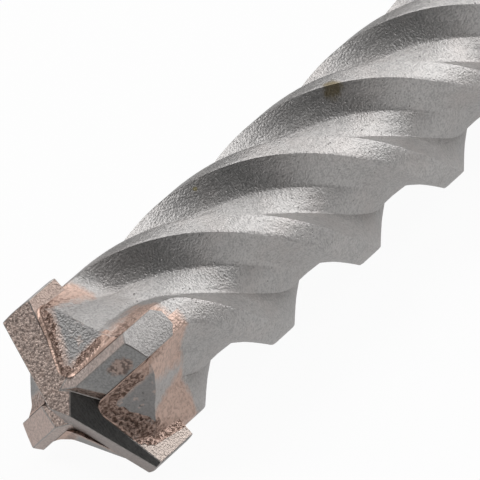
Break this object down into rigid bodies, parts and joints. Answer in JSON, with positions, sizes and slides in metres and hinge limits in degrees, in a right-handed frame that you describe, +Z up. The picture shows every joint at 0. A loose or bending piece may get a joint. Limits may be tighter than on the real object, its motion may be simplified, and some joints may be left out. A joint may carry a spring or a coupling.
{
  "type": "hammer drill bit",
  "caption": "Masonry hammer drill bit with right-hand helical flutes, a brazed carbide cross head and a slotted quick-change shank",
  "frame": {"origin": "centre of the flat striking face at the rear end of the shank", "axes": "+X along the axis from the shank towards the cutting tip, +Z up with the bit lying on its side and its four arms 45 degrees from vertical, +Y completes the right-handed frame"},
  "size_m": [0.32, 0.0282, 0.0282],
  "materials": {
    "blasted_steel": "matt shot-blasted steel",
    "carbide": "ground sintered carbide, satin"
  },
  "bodies": {
    "root": {"steel_body": "blasted_steel", "carbide_cross": "carbide"}
  },
  "joints": []
}
